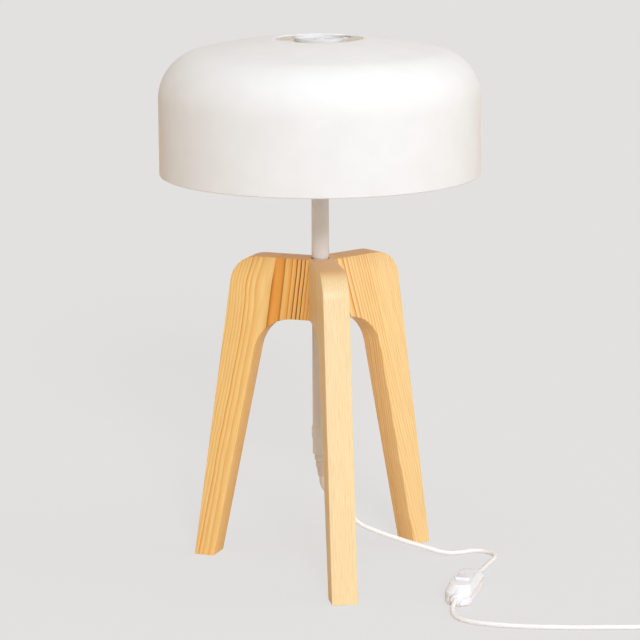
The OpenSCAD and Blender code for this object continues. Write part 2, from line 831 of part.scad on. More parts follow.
module cord_coil() {
  round_r = cord_d / 2;
  low = coil_in_r - cord_d / 2;
  size = [coil_out_r - coil_in_r + cord_d, coil_top - tie_t];
  color(white) translate(coil_pos) rotate_extrude()
    translate([low + size.x / 2, tie_t + size.y / 2]) rounded_rect(size, round_r);
}

module coil_tie() {
  low = sqrt(pow(coil_in_r - cord_d / 2, 2) - pow(tie_w / 2, 2)) - loose_gap;
  size = [coil_out_r + cord_d / 2 + loose_gap - low, coil_top - tie_t + loose_gap];
  color("dimgray") translate(coil_pos) rotate(135) translate([low, 0, tie_t]) rotate([90, 0, 0])
    linear_extrude(tie_w, center = true) difference() {
      translate([-tie_t, -tie_t]) square(size + 2 * [tie_t, tie_t]);
      square(size);
    }
}

module at_plug() {
  translate(plug_pos) rotate(90) children();
}

module plug_body() {
  shoulder = plug_relief_len + 14;
  end = plug_relief_len + plug_body_len;
  color(white) at_plug() difference() {
    union() {
      rotate([0, 90, 0]) cylinder(r1 = 3.4, r2 = 5.4, h = plug_relief_len + 1);
      hull() {
        translate([plug_relief_len, 0, 0]) rotate([90, 0, 90]) linear_extrude(1) rounded_rect([13, 11], 4, $fn = 32);
        translate([shoulder, 0, 0]) rotate([90, 0, 90])
          linear_extrude(end - shoulder) rounded_rect([plug_w, plug_t], 5, $fn = 32);
      }
    }
    translate([-e, 0, 0]) rotate([0, 90, 0]) cylinder(r = cord_d / 2 + cord_gap, h = 10);
    at_pins() translate([0, 0, -pin_root]) cylinder(r = pin_core_r + fit_gap, h = pin_root + 1);
  }
}

// Each pin's root in the plug's face, its length upwards
module at_pins() {
  for (s = [-1, 1]) translate([plug_relief_len + plug_body_len, s * pin_pitch / 2, 0]) rotate([0, 90, 0]) children();
}

module plug_pins() {
  straight = pin_len - sleeve_len - pin_chamfer;
  color(steel) at_plug() at_pins() {
    translate([0, 0, -pin_root]) cylinder(r = pin_core_r, h = pin_root + sleeve_len + e);
    translate([0, 0, sleeve_len]) cylinder(d = pin_d, h = straight);
    translate([0, 0, sleeve_len + straight]) cylinder(r1 = pin_d / 2, r2 = pin_d / 2 - 0.8, h = pin_chamfer);
  }
}

module pin_sleeves() {
  color("dimgray") at_plug() at_pins() ring(pin_core_r + fit_gap, pin_d / 2, 0, sleeve_len);
}

leg_front();
leg_right();
leg_left();
hub_plate();
hub_screws();
hub_nipple();
stem_tube();
lower_tube();
tube_inserts();
gland_body();
strain_relief();
inner_cord();
holder_nipple();
holder_washer();
holder_nut();
holder_base();
holder_sleeve();
holder_insert();
screw_shell();
centre_contact();
holder_terminals();
holder_wires();
bulb_globe();
bulb_body();
bulb_cap();
bulb_insulator();
bulb_contact();
harp();
spider();
shade();
top_cap();
cap_screw();
cap_nut();
cord_lamp();
switch_base();
switch_cover();
switch_rocker();
switch_pin();
switch_contacts();
switch_terminals();
switch_wires();
cord_clamps();
switch_screws();
cord_lead();
cord_coil();
coil_tie();
cord_tail();
plug_body();
plug_pins();
pin_sleeves();
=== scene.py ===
from math import acos, asin, atan2, cos, degrees, hypot, pi, radians, sin, sqrt, tan

import bpy
from mathutils import Matrix, Vector


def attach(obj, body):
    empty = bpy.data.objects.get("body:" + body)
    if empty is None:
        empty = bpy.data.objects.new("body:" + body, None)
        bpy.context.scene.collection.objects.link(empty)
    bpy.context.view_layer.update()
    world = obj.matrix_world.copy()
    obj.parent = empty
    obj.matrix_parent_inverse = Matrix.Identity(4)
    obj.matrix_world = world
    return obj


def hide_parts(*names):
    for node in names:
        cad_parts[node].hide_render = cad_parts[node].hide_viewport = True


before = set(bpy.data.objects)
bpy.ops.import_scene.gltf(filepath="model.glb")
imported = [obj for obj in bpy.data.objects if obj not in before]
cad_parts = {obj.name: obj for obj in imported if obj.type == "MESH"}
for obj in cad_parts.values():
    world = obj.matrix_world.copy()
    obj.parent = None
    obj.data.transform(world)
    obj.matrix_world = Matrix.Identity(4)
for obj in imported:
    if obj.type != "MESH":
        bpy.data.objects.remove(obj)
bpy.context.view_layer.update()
mm = 0.001

# ---- Camera ----
# A long lens, two and a half metres away and a little above the shade. It is tipped down at the lamp,
# and turned and rolled by a hair.
camera_place, lens, sees_to = (0, -2.5355, 0.8033), 144.5, 60
look_down, look_left, roll = 0.2123, 0.0003, -0.005
bpy.ops.object.select_all(action="DESELECT")
bpy.ops.object.camera_add(location=camera_place)
camera = bpy.context.object
camera.data.lens = lens
camera.data.clip_end = sees_to
aim = Matrix.Rotation(pi / 2 - look_down, 4, "X") @ Matrix.Rotation(roll, 4, "Z")
camera.rotation_euler = (Matrix.Rotation(look_left, 4, "Z") @ aim).to_euler()
bpy.context.scene.camera = camera

# ---- Mains lead ----
# A round two-core cord in a white sheath. It leaves the gland under the tube, passes the in-line
# switch on the floor, and what the lamp doesn't need is wound up with a tie, with the plug beside it.
cord_d = 4.8
lamp_route = [
    (0, 0, 94), (0, 0, 90.5), (1.2, 0.2, 84.3), (4.6, 0.9, 78.4), (9.5, 1.9, 73.2), (15.2, 3, 67.8),
    (21, 4.2, 61.6), (26.6, 5.3, 54.9), (31.8, 6.4, 48.1), (37.5, 7.6, 41.9), (45.5, 9.4, 36.6),
    (56.5, 11.6, 31.2), (68.5, 14, 25.8), (80.5, 16.5, 20.8), (91, 18.5, 16.5), (102, 20.5, 12.5),
    (112.5, 22, 8.8), (122.5, 23.5, 5.2), (132, 25.5, 3), (141.5, 28, 2.4), (150.5, 32, 2.4),
    (161.5, 34.5, 2.4), (172.5, 30, 2.4), (179, 20, 2.4), (178, 8, 2.4), (174, -3, 2.4),
    (169.5, -14.5, 2.4), (165.5, -25.5, 2.4), (161, -37, 3.2), (157.5, -48, 5), (154.8, -58, 7),
    (152.5, -66, 8), (150, -74.5, 8),
]
lead_route = [
    (132, -137.5, 8), (129.4, -146.4, 8), (127.5, -155, 6.5), (126, -164, 4.6), (127, -173.5, 3),
    (131, -182.5, 2.4), (138, -190, 2.4), (147, -195.5, 2.4), (157.5, -199.5, 2.4), (169, -203, 2.4),
    (181, -205.5, 2.4), (193, -207.5, 2.4), (206, -209, 2.4), (219, -210, 2.4), (232, -211, 2.4),
    (245, -211.4, 2.4), (258, -211.4, 2.4), (271, -211.4, 2.4), (284, -211.4, 2.4),
    (297, -211.4, 2.4), (310, -211.4, 2.4), (323, -211.4, 2.4), (336, -211.4, 2.8), (348, -211.4, 3.2),
]
tail_route = [
    (388.5, -172, 8), (388.5, -161, 7.6), (388.5, -150, 7), (388.5, -139, 6.7), (388.5, -131, 6.7),
]
coil_centre, coil_outside, coil_turns, lower_layer, upper_layer = Vector((354, -177, 0)), 34.4, 3, 3.2, 8
coil_from, points_a_turn, last_turn, climb_turns = -90, 16, 0.25, 0.3


def coil_route():
    """Turns inwards on the lower layer and outwards again on the upper one, then a quarter turn."""
    route = []
    for step in range(int(points_a_turn * (2 * coil_turns + last_turn))):
        turns = step / points_a_turn
        inwards = min(turns, 2 * coil_turns - turns)
        radius = coil_outside - cord_d * max(inwards, 0)
        climb = min(max((turns - coil_turns) / climb_turns + 0.5, 0), 1)
        height = lower_layer + (upper_layer - lower_layer) * climb
        angle = radians(360 * turns + coil_from)
        route.append(coil_centre + Vector((radius * cos(angle), radius * sin(angle), height)))
    return route


class Value:
    """A socket of a finish that is added, taken away, multiplied and divided like a number."""

    def __init__(self, finish, socket):
        self.finish, self.socket = finish, socket

    def __add__(self, other):
        return self.finish.maths("ADD", self, other)

    def __sub__(self, other):
        return self.finish.maths("SUBTRACT", self, other)

    def __mul__(self, other):
        return self.finish.maths("MULTIPLY", self, other)

    def __truediv__(self, other):
        return self.finish.maths("DIVIDE", self, other)

    def __rtruediv__(self, other):
        return self.finish.maths("DIVIDE", other, self)

    def __pow__(self, other):
        return self.finish.maths("POWER", self, other)


class Finish:
    """A material: its shader, the nodes that node() adds and what vary() feeds to the shader."""

    def __init__(self, name, colour, roughness, **fixed):
        self.material = bpy.data.materials.new(name)
        self.material.use_nodes = True
        self.material.diffuse_color = colour
        self.tree = self.material.node_tree
        self.shader = self.tree.nodes["Principled BSDF"]
        self.vary(Base_Color=colour, Roughness=roughness, **fixed)
        self.place = self.node("ShaderNodeTexCoord", out="Object")
        self.facing = Value(self, self.place.socket.node.outputs["Normal"])

    def node(self, kind, settings=None, sockets=None, out=0):
        made = self.tree.nodes.new(kind)
        settings = dict(settings or {})
        for at, (position, colour) in enumerate(settings.pop("stops", [])):
            elements = made.color_ramp.elements
            stop = elements[at] if at < 2 else elements.new(position)
            stop.position, stop.color = position, colour
        for setting, value in settings.items():
            setattr(made, setting, value)
        for socket, value in (sockets or {}).items():
            self.feed(made.inputs[socket], value)
        return Value(self, made.outputs[out])

    def feed(self, socket, value):
        if isinstance(value, Value):
            self.tree.links.new(value.socket, socket)
        else:
            socket.default_value = value

    def vary(self, **sockets):
        for socket, value in sockets.items():
            self.feed(self.shader.inputs[socket.replace("_", " ")], value)

    def maths(self, operation, *terms):
        return self.node("ShaderNodeMath", {"operation": operation}, dict(enumerate(terms)))

    def dot(self, vector, direction):
        sockets = {0: vector, 1: direction}
        return self.node("ShaderNodeVectorMath", {"operation": "DOT_PRODUCT"}, sockets, out="Value")

    def noise(self, scale, detail=2, at=None):
        sockets = {"Vector": at or self.place, "Scale": scale, "Detail": detail}
        return self.node("ShaderNodeTexNoise", None, sockets)

    def blend(self, share, low, high, way="MIX"):
        settings = {"data_type": "RGBA", "blend_type": way}
        return self.node("ShaderNodeMix", settings, {0: share, 6: low, 7: high}, out=2)

    def bump(self, height, depth):
        return self.node("ShaderNodeBump", None, {"Strength": 1, "Distance": depth * mm, "Height": height})


def tint(code, light=1.0):
    """A colour written as it looks on a screen, in six hexadecimal digits."""
    parts = [int(code[i:i + 2], 16) / 255 for i in (0, 2, 4)]
    linear = [p / 12.92 if p <= 0.04045 else ((p + 0.055) / 1.055) ** 2.4 for p in parts]
    return (*(min(light * p, 1) for p in linear), 1)


def skin(name, code, roughness, grain, depth, **fixed):
    """A finish of one colour with a fine skin: grain in bumps to the metre, depth in mm. Clouds many
    grains wide make it a little darker or lighter, and duller or glossier."""
    grains_a_cloud, darker, lighter, duller = 30, 0.95, 1.03, 0.12
    finish = Finish(name, tint(code), roughness, **fixed)
    cloud = finish.noise(grain / grains_a_cloud, 3)
    finish.vary(
        Base_Color=finish.blend(cloud, tint(code, darker), tint(code, lighter)),
        Roughness=cloud * duller + (roughness - duller / 2),
        Normal=finish.bump(finish.noise(grain), depth),
    )
    return finish


def hand_over(piece, finish, body="lamp", nodes=()):
    """Gives a finished piece its finish, the body that it rides on and the nodes that it stands for."""
    piece.data.materials.clear()
    piece.data.materials.append(finish.material)
    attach(piece, body)
    if nodes:
        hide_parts(*nodes)


def dress(finish, *nodes):
    """Gives carried-over nodes their finish."""
    for name in nodes:
        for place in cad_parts[name].material_slots:
            place.link = "OBJECT"
            place.material = finish.material


def lay_cord(name, route, nodes):
    """A cord along a route in mm, with closed ends that stay inside the pieces that hold it."""
    line = bpy.data.curves.new(name, "CURVE")
    line.dimensions = "3D"
    line.bevel_depth = cord_d / 2 * mm
    line.bevel_resolution = 4
    line.resolution_u = 6
    line.use_fill_caps = True
    spline = line.splines.new("BEZIER")
    spline.bezier_points.add(len(route) - 1)
    for point, place in zip(spline.bezier_points, route):
        point.co = Vector(place) * mm
        point.handle_left_type = point.handle_right_type = "AUTO"
    piece = bpy.data.objects.new(name, line)
    bpy.context.collection.objects.link(piece)
    hand_over(piece, sheath, nodes=nodes)
    return piece


sheath = skin("cord sheath", "F8F3F1", 0.42, 900, 0.03)
lamp_cord = lay_cord("lamp_cord", lamp_route, ["cord_lamp"])
whole_lead = [*lead_route, *coil_route(), *tail_route]
lead = lay_cord("mains_lead", whole_lead, ["cord_lead", "cord_coil", "cord_tail"])
dress(sheath, "inner_cord")

# ---- Coil tie ----
# A flat strap of black rubber round the wound lead. It is bent into a loop with rounded corners and
# lies against the two layers of the coil.
tie_azimuth, tie_width, tie_thick, tie_corner = 135, 9, 0.8, 2
tie_low, tie_high = (14.9, 0.8), (37, 10.6)
black_rubber = skin("tie rubber", "3A3B3D", 0.6, 2500, 0.04)


def draw(name, points):
    """Draws a line from point to point, in mm, as with a pencil. It stays selected in edit mode."""
    bpy.ops.object.select_all(action="DESELECT")
    bpy.ops.mesh.primitive_plane_add(size=mm)
    piece = bpy.context.object
    piece.name = piece.data.name = name
    bpy.ops.object.mode_set(mode="EDIT")
    bpy.ops.mesh.select_mode(type="VERT")
    bpy.ops.mesh.merge(type="CENTER")
    corners = [Vector(point) * mm for point in points]
    bpy.ops.transform.translate(value=corners[0])
    for here, there in zip(corners, corners[1:]):
        bpy.ops.mesh.extrude_vertices_move(TRANSFORM_OT_translate={"value": there - here})
    bpy.ops.mesh.select_all(action="SELECT")
    return piece


def draw_out(path):
    """Draws what is selected out along a path in mm."""
    bpy.ops.mesh.extrude_region_move(TRANSFORM_OT_translate={"value": [way * mm for way in path]})


def close_up(nearest=0.002):
    """Merges what lies together, turns all faces outwards and leaves edit mode."""
    bpy.ops.mesh.select_all(action="SELECT")
    bpy.ops.mesh.remove_doubles(threshold=nearest * mm)
    bpy.ops.mesh.normals_make_consistent(inside=False)
    bpy.ops.object.mode_set(mode="OBJECT")


def arc(centre, radius, start, end, steps=12):
    """Points of an arc between two angles in degrees."""
    angles = [radians(start + (end - start) * i / steps) for i in range(steps + 1)]
    return [(centre[0] + radius * cos(a), centre[1] + radius * sin(a)) for a in angles]


def rounded_loop(low, high, corner, steps=12):
    """The closed line round a rectangle with rounded corners."""
    left, right, bottom, top = low[0] + corner, high[0] - corner, low[1] + corner, high[1] - corner
    line = []
    centres = ((left, bottom), (right, bottom), (right, top), (left, top))
    for centre, start in zip(centres, (180, 270, 0, 90)):
        line += arc(centre, corner, start, start + 90, steps)
    return [*line, line[0]]


def pick(piece):
    """Makes one piece the active and the only selected one."""
    bpy.ops.object.select_all(action="DESELECT")
    bpy.context.view_layer.objects.active = piece
    piece.select_set(True)


def apply(piece, kind, **settings):
    """Adds a modifier and applies it."""
    pick(piece)
    modifier = piece.modifiers.new(kind.lower(), kind)
    for setting, value in settings.items():
        setattr(modifier, setting, value)
    bpy.ops.object.modifier_apply(modifier=modifier.name)


def bent_strip(name, loop, path, thick, side):
    """A flat strip. A closed line is drawn out along a path to its width, and the strip is thickened
    on its outer side (1) or on its inner side (-1)."""
    piece = draw(name, loop)
    draw_out(path)
    close_up()
    apply(piece, "SOLIDIFY", thickness=thick * mm, offset=side, use_even_offset=True)
    return piece


def merge(piece, nearest=0.001, flat=0):
    """Joins points that lie nearer together than this in mm, and faces that lie flat to so many degrees."""
    pick(piece)
    bpy.ops.object.mode_set(mode="EDIT")
    bpy.ops.mesh.select_all(action="SELECT")
    bpy.ops.mesh.remove_doubles(threshold=nearest * mm)
    if flat:
        bpy.ops.mesh.dissolve_limited(angle_limit=radians(flat))
    bpy.ops.object.mode_set(mode="OBJECT")


def ease(piece, width, segments=2, limit=30, smooth=35):
    """Rounds the edges by a width in mm and shades the faces smooth between sharp corners."""
    apply(piece, "BEVEL", width=width * mm, segments=segments, limit_method="ANGLE",
          angle_limit=radians(limit), use_clamp_overlap=True)
    bpy.ops.object.shade_smooth_by_angle(angle=radians(smooth))


def settle(piece, place, turned):
    """Turns a piece about the vertical and sets it in its place, all in its mesh."""
    pick(piece)
    piece.location = Vector(place) * mm
    piece.rotation_euler.z = radians(turned)
    bpy.ops.object.transform_apply(location=True, rotation=True, scale=True)
    merge(piece)


strap_line = [(x, -tie_width / 2, z) for x, z in rounded_loop(tie_low, tie_high, tie_corner, 5)]
strap = bent_strip("coil_strap", strap_line, (0, tie_width, 0), tie_thick, 1)
ease(strap, 0.25)
settle(strap, coil_centre, tie_azimuth)
hand_over(strap, black_rubber, nodes=["coil_tie"])

# ---- In-line switch ----
# Two moulded shells screwed together from below round the terminals, with a neck at each end that
# grips the cord, and a rocker on a steel pin.
switch_place, switch_turned = (141, -106, 0), 74
switch_long, switch_wide, switch_high, switch_corner = 76, 27, 19.5, 12.5
seam_z, wall_top, roof_edge, roof_long, roof_wide = 8, 13, 18.5, 58, 21
shell_wall, floor_top, hollow_low, hollow_walls, hollow_slope, hollow_top = 3, 2, 6, 12, 16.5, 17.5
underside = ((floor_top, 0.6, 3), (0.6, 0, 2))  # from and to which height, and how much narrower it gets
neck_line, cord_way_r = [(0, 33), (6, 33), (6, 38), (4.4, 42), (0, 42)], 2.5
window_long, window_wide, window_from = 26.2, 15, 10
screw_seats, screw_head_r, seat_top = ((23, -7.9), (-23, 7.9)), 2.6, 3
# How far the pieces that only cut reach beyond the shells.
past_ends, past_sides, past_below, past_above, past_necks, past_roof = 60, 30, -20, 40, 50, 30
same_place = 0.001
switch_plastic = skin("switch plastic", "F4F2F3", 0.4, 3500, 0.015)


def turn(name, profile, steps=96, axis=(0, 0, 1)):
    """Turns a profile of (radius, height). One that begins on the axis also ends on it."""
    ring = profile if profile[0][0] == 0 else [*profile, profile[0]]
    lying = axis[0]
    piece = draw(name, [(z, 0, r) if lying else (r, 0, z) for r, z in ring])
    bpy.ops.mesh.spin(steps=steps, angle=2 * pi, center=(0, 0, 0), axis=axis)
    close_up()
    return piece


def cut_out(name, outline, path):
    """Fills a closed outline and draws it out along a path into a solid."""
    piece = draw(name, outline)
    bpy.ops.mesh.edge_face_add()
    draw_out(path)
    close_up()
    return piece


def combine(piece, other, operation="DIFFERENCE"):
    """Cuts another piece out of this one, or joins the two, and removes the other."""
    apply(piece, "BOOLEAN", object=other, operation=operation, solver="EXACT")
    bpy.data.objects.remove(other)


def fix(piece):
    """Leaves edit mode and puts the piece's place into its mesh."""
    bpy.ops.object.mode_set(mode="OBJECT")
    pick(piece)
    bpy.ops.object.transform_apply(location=True, rotation=True, scale=True)


def block(name, low, high):
    """A box between two corners."""
    low, high = Vector(low), Vector(high)
    bpy.ops.object.select_all(action="DESELECT")
    bpy.ops.mesh.primitive_cube_add(size=mm, location=(low + high) / 2 * mm)
    piece = bpy.context.object
    piece.name = piece.data.name = name
    bpy.ops.object.mode_set(mode="EDIT")
    bpy.ops.transform.resize(value=high - low)
    fix(piece)
    return piece


def select(piece, kind, wanted):
    """Selects the parts whose corners together pass a test, and stays in edit mode."""
    bpy.ops.object.mode_set(mode="EDIT")
    bpy.ops.mesh.select_mode(type=kind)
    bpy.ops.mesh.select_all(action="DESELECT")
    bpy.ops.object.mode_set(mode="OBJECT")
    parts = {"EDGE": piece.data.edges, "FACE": piece.data.polygons, "VERT": piece.data.vertices}[kind]
    for part in parts:
        at = [part.index] if kind == "VERT" else part.vertices
        part.select = wanted(*(piece.data.vertices[i].co / mm for i in at))
    bpy.ops.object.mode_set(mode="EDIT")


def rounded_block(name, size, low, high, corner, steps=10):
    """A box in the middle whose four upright edges are rounded."""
    piece = block(name, (-size[0] / 2, -size[1] / 2, low), (size[0] / 2, size[1] / 2, high))
    select(piece, "EDGE", lambda a, b: abs(a.z - b.z) > same_place)
    bpy.ops.mesh.bevel(offset=corner * mm, segments=steps, profile=0.5)
    bpy.ops.object.mode_set(mode="OBJECT")
    return piece


def draw_in(piece, level, rise, share=(1, 1)):
    """Draws the flat end at one level up or down and makes it smaller."""
    select(piece, "FACE", lambda *corners: all(abs(c.z - level) < same_place for c in corners))
    draw_out((0, 0, rise))
    bpy.ops.transform.resize(value=(*share, 1))
    bpy.ops.object.mode_set(mode="OBJECT")


def roofed_block(name, inset, low, walls_to, slope_to, high):
    """An upright wall, a slope up to the smaller roof, and the roof's own low edge."""
    size = (switch_long - 2 * inset, switch_wide - 2 * inset)
    roof = (roof_long - 2 * inset, roof_wide - 2 * inset)
    piece = rounded_block(name, size, low, walls_to, switch_corner - inset)
    draw_in(piece, walls_to, slope_to - walls_to, (roof[0] / size[0], roof[1] / size[1]))
    draw_in(piece, slope_to, high - slope_to)
    return piece


def turn_along(name, profile, steps):
    """Turns a profile of (radius, distance from the middle) about the cord's line through the switch."""
    piece = turn(name, profile, steps, (1, 0, 0))
    piece.location.z = seam_z * mm
    fix(piece)
    return piece


def add_necks(piece, low, high):
    """Joins to a shell what lies of both necks between two heights."""
    for side in (1, -1):
        neck = turn_along("neck", [(r, side * x) for r, x in neck_line], 40)
        half = block("half", (-past_ends, -past_sides, low), (past_ends, past_sides, high))
        combine(neck, half, "INTERSECT")
        combine(piece, neck, "UNION")


def hollow_out(piece, cavity):
    """Cuts the hollow and the cord's way out of a shell."""
    combine(piece, cavity)
    way = [(0, -past_necks), (cord_way_r, -past_necks), (cord_way_r, past_necks), (0, past_necks)]
    combine(piece, turn_along("channel", way, 32))


base = rounded_block("switch_base_shell", (switch_long, switch_wide), floor_top, seam_z, switch_corner)
for level, lower, narrower in underside:
    draw_in(base, level, lower - level, (1 - narrower / switch_long, 1 - narrower / switch_wide))
add_necks(base, past_below, seam_z)
inside = (switch_long - 2 * shell_wall, switch_wide - 2 * shell_wall)
hollow_out(base, rounded_block("cavity", inside, floor_top, hollow_walls, switch_corner - shell_wall))
for x, y in screw_seats:
    seat = turn("seat", [(0, -1), (screw_head_r, -1), (screw_head_r, seat_top), (0, seat_top)], 32)
    seat.location = (x * mm, y * mm, 0)
    combine(base, seat)
merge(base, 0.06, flat=1)
ease(base, 0.3, limit=35)
settle(base, switch_place, switch_turned)
hand_over(base, switch_plastic, nodes=["switch_base"])

cover = roofed_block("switch_cover_shell", 0, seam_z, wall_top, roof_edge, switch_high)
ease(cover, 0.5, segments=3, limit=28)
add_necks(cover, seam_z, past_above)
hollow_out(cover, roofed_block("cavity", shell_wall, hollow_low, hollow_walls, hollow_slope, hollow_top))
opening = block("opening", (-window_long / 2, -window_wide / 2, window_from),
                (window_long / 2, window_wide / 2, past_roof))
combine(cover, opening)
merge(cover)
bpy.ops.object.shade_smooth_by_angle(angle=radians(35))
settle(cover, switch_place, switch_turned)
hand_over(cover, switch_plastic, nodes=["switch_cover"])

pivot_z, tilt, rocker_r, rocker_wide, skirt = 14.5, 7, 12.7, 14.2, 1
tip_z, dip_z, foot_half, foot_z, dish_steps = 6.1, 5.1, 3.5, -3, 6
tip_x = sqrt(rocker_r ** 2 - tip_z ** 2)
right_arc = arc((0, 0), rocker_r, -degrees(asin(skirt / rocker_r)), degrees(asin(tip_z / rocker_r)))
left_arc = [(-x, z) for x, z in reversed(right_arc)]
dished = []
for step in range(dish_steps - 1, -dish_steps, -1):
    share = step / dish_steps
    dished.append((tip_x * share, dip_z + (tip_z - dip_z) * share ** 2))
rocker_line = [*right_arc, *dished, *left_arc, (-foot_half, foot_z), (foot_half, foot_z)]
rocker_side = [(x, -rocker_wide / 2, z) for x, z in rocker_line]
rocker = cut_out("switch_rocker_key", rocker_side, (0, rocker_wide, 0))
rocker.rotation_euler.y = radians(tilt)
rocker.location.z = pivot_z * mm
fix(rocker)
ease(rocker, 0.5, segments=3, limit=40)
settle(rocker, switch_place, switch_turned)
hand_over(rocker, switch_plastic, "rocker", ["switch_rocker"])


def metal(name, middle, dull, bright, patches, gloss, span, grain, depth):
    """A plated or bare metal with duller and brighter patches. Patches and grain are to the metre,
    gloss is the least roughness and span what the patches add, and depth is in mm."""
    finish = Finish(name, tint(middle), gloss + span / 2, Metallic=1)
    haze = finish.noise(patches, 4)
    finish.vary(
        Base_Color=finish.blend(haze, tint(dull), tint(bright)),
        Roughness=haze * span + gloss,
        Normal=finish.bump(finish.noise(grain), depth),
    )
    return finish


zinc = metal("zinc plating", "B9BDC1", "A9AEB4", "C9CBCB", 140, 0.22, 0.25, 900, 0.02)
brass = metal("brass", "C9A560", "A98443", "DDBB74", 220, 0.15, 0.3, 1500, 0.01)
wire_brown = skin("wire sheath", "7A4A2C", 0.4, 1500, 0.02)
dress(zinc, "switch_pin", "switch_screws")
dress(brass, "switch_contacts", "switch_terminals")
dress(wire_brown, "switch_wires")
dress(switch_plastic, "cord_clamps")

# ---- Plug ----
# A flat moulded two-pin plug: a ribbed bend relief, a body that widens to a grip, and nickel pins
# whose roots are sleeved.
plug_place = (388.5, -137, 6.7)
plug_start, plug_end, plug_wide, plug_thick = 22, 58, 26, 13.4
plug_steps = ((plug_start, 13, 11), (27, 16.4, 11.9), (32, 23, 12.9))
ribs, rib_from, rib_pitch, rib_long, rib_deep = 6, 1.5, 3.2, 1.8, 0.7
rib_r, rib_growth, relief_r, relief_end = 3.5, 1.7, 5.4, 24
plug_rubber = skin("plug body", "EFEDEA", 0.42, 2500, 0.03)
plug = block("plug_moulding", (plug_start, -plug_wide / 2, -plug_thick / 2),
             (plug_end, plug_wide / 2, plug_thick / 2))
for at, wide, thick in plug_steps:
    if at > plug_start:
        bpy.ops.object.mode_set(mode="EDIT")
        bpy.ops.mesh.select_all(action="SELECT")
        bpy.ops.mesh.bisect(plane_co=(at * mm, 0, 0), plane_no=(1, 0, 0))
        bpy.ops.object.mode_set(mode="OBJECT")
    select(plug, "VERT", lambda corner: abs(corner.x - at) < same_place)
    bpy.ops.transform.resize(value=(1, wide / plug_wide, thick / plug_thick))
    bpy.ops.object.mode_set(mode="OBJECT")
ease(plug, 3.5, segments=5, limit=50)
relief_line = [(0, -1), (2.6, -1), (3.4, 0)]
for rib in range(ribs):
    at = rib_from + rib_pitch * rib
    thick = rib_r + rib_growth * rib / ribs
    relief_line += [(thick, at), (thick, at + rib_long)]
    relief_line += [(thick - rib_deep, at + rib_long + 0.4), (thick - rib_deep, at + rib_long + 1)]
relief_line += [(relief_r, relief_end - 3), (relief_r, relief_end), (0, relief_end)]
plug_relief = turn("plug_relief", relief_line, 48, (1, 0, 0))
ease(plug_relief, 0.2)
for piece in (plug, plug_relief):
    settle(piece, plug_place, 90)
    hand_over(piece, plug_rubber, nodes=["plug_body"] if piece == plug else ())
nickel = metal("nickel", "CFCDC8", "BDBAB4", "DAD8D3", 180, 0.16, 0.2, 1200, 0.01)
dress(nickel, "plug_pins")
dress(black_rubber, "pin_sleeves")

# ---- Tripod ----
# Three pine boards, each a leg with its third of the hub, sawn out, mitred together and glued. Their
# long edges are eased and the wood is lacquered clear.
leg_h, hub_under, board_t, foot_reach, foot_in = 320.5, 258, 26, 137, 115.5
lean_out, lean_in, shoulder_r, arch_r, tripod_turned = 8.5, 12, 30, 43, 9.43
past_middle, mitres, plate_recess, arm_reach, arm_r, disc_r = 3, (150, -150), 2, 18.5, 7.7, 11.45
nipple_hole_r, stem_foot, stem_hole_r, below, above = 5.3, leg_h - 3, 9.4, hub_under - 8, leg_h + 9.5
shoulder_z, arch_z = leg_h - shoulder_r, hub_under - arch_r
shoulder_x = foot_reach - shoulder_z * tan(radians(lean_out)) - shoulder_r / cos(radians(lean_out))
arch_x = foot_in - arch_z * tan(radians(lean_in)) - arch_r / cos(radians(lean_in))
board_line = [
    (-past_middle, hub_under), (-past_middle, leg_h),
    *arc((shoulder_x, shoulder_z), shoulder_r, 90, lean_out, 24), (foot_reach, 0), (foot_in, 0),
    *arc((arch_x, arch_z), arch_r, lean_in, 90, 24),
]
fibre_lean, fibre_long, fibre_wide, knot_at, knot_reach, calms_over = radians(11), 26, 0.8, 40, 22, 22
swings = ((110, 40, 3), (30, 16, 1.2))  # how long and how wide they are, and how far they swing
early_to_late = [(0, 0.2), (0.1, 0), (0.45, 0.18), (0.75, 0.62), (0.94, 1)]
fibre_shades = [(0.3, (0.9, 0.88, 0.84, 1)), (0.62, (1, 1, 1, 1))]
end_wood = tint("E09C55")
# The front board's wood is paler and its rings weaker than the other boards': painted sheen, the lacquer's
# reflection of the bright studio on the board turned towards the main lamp.
front_strips_with_sheen = [(-60, 40, 70, -150, 0, 0, 2.7, 0.55, ("FADBA8", "EFBE7C", "D79A58"))]
right_strips = [(-60, 40, 2, -43, 0.098, 0, 2.6, 1, ("FFD999", "F2AC55", "CF7C26"))]
left_strips = [
    (-60, 60, 38.5, -14.2, -0.07, 0, 2.8, 1.35, ("F4BF6E", "EF9A35", "62360C")),
    (42, 72, 44, -16.5, 0.02, 5, 2.2, 0.8, ("FFD488", "F2A94F", "C4782A")),
]


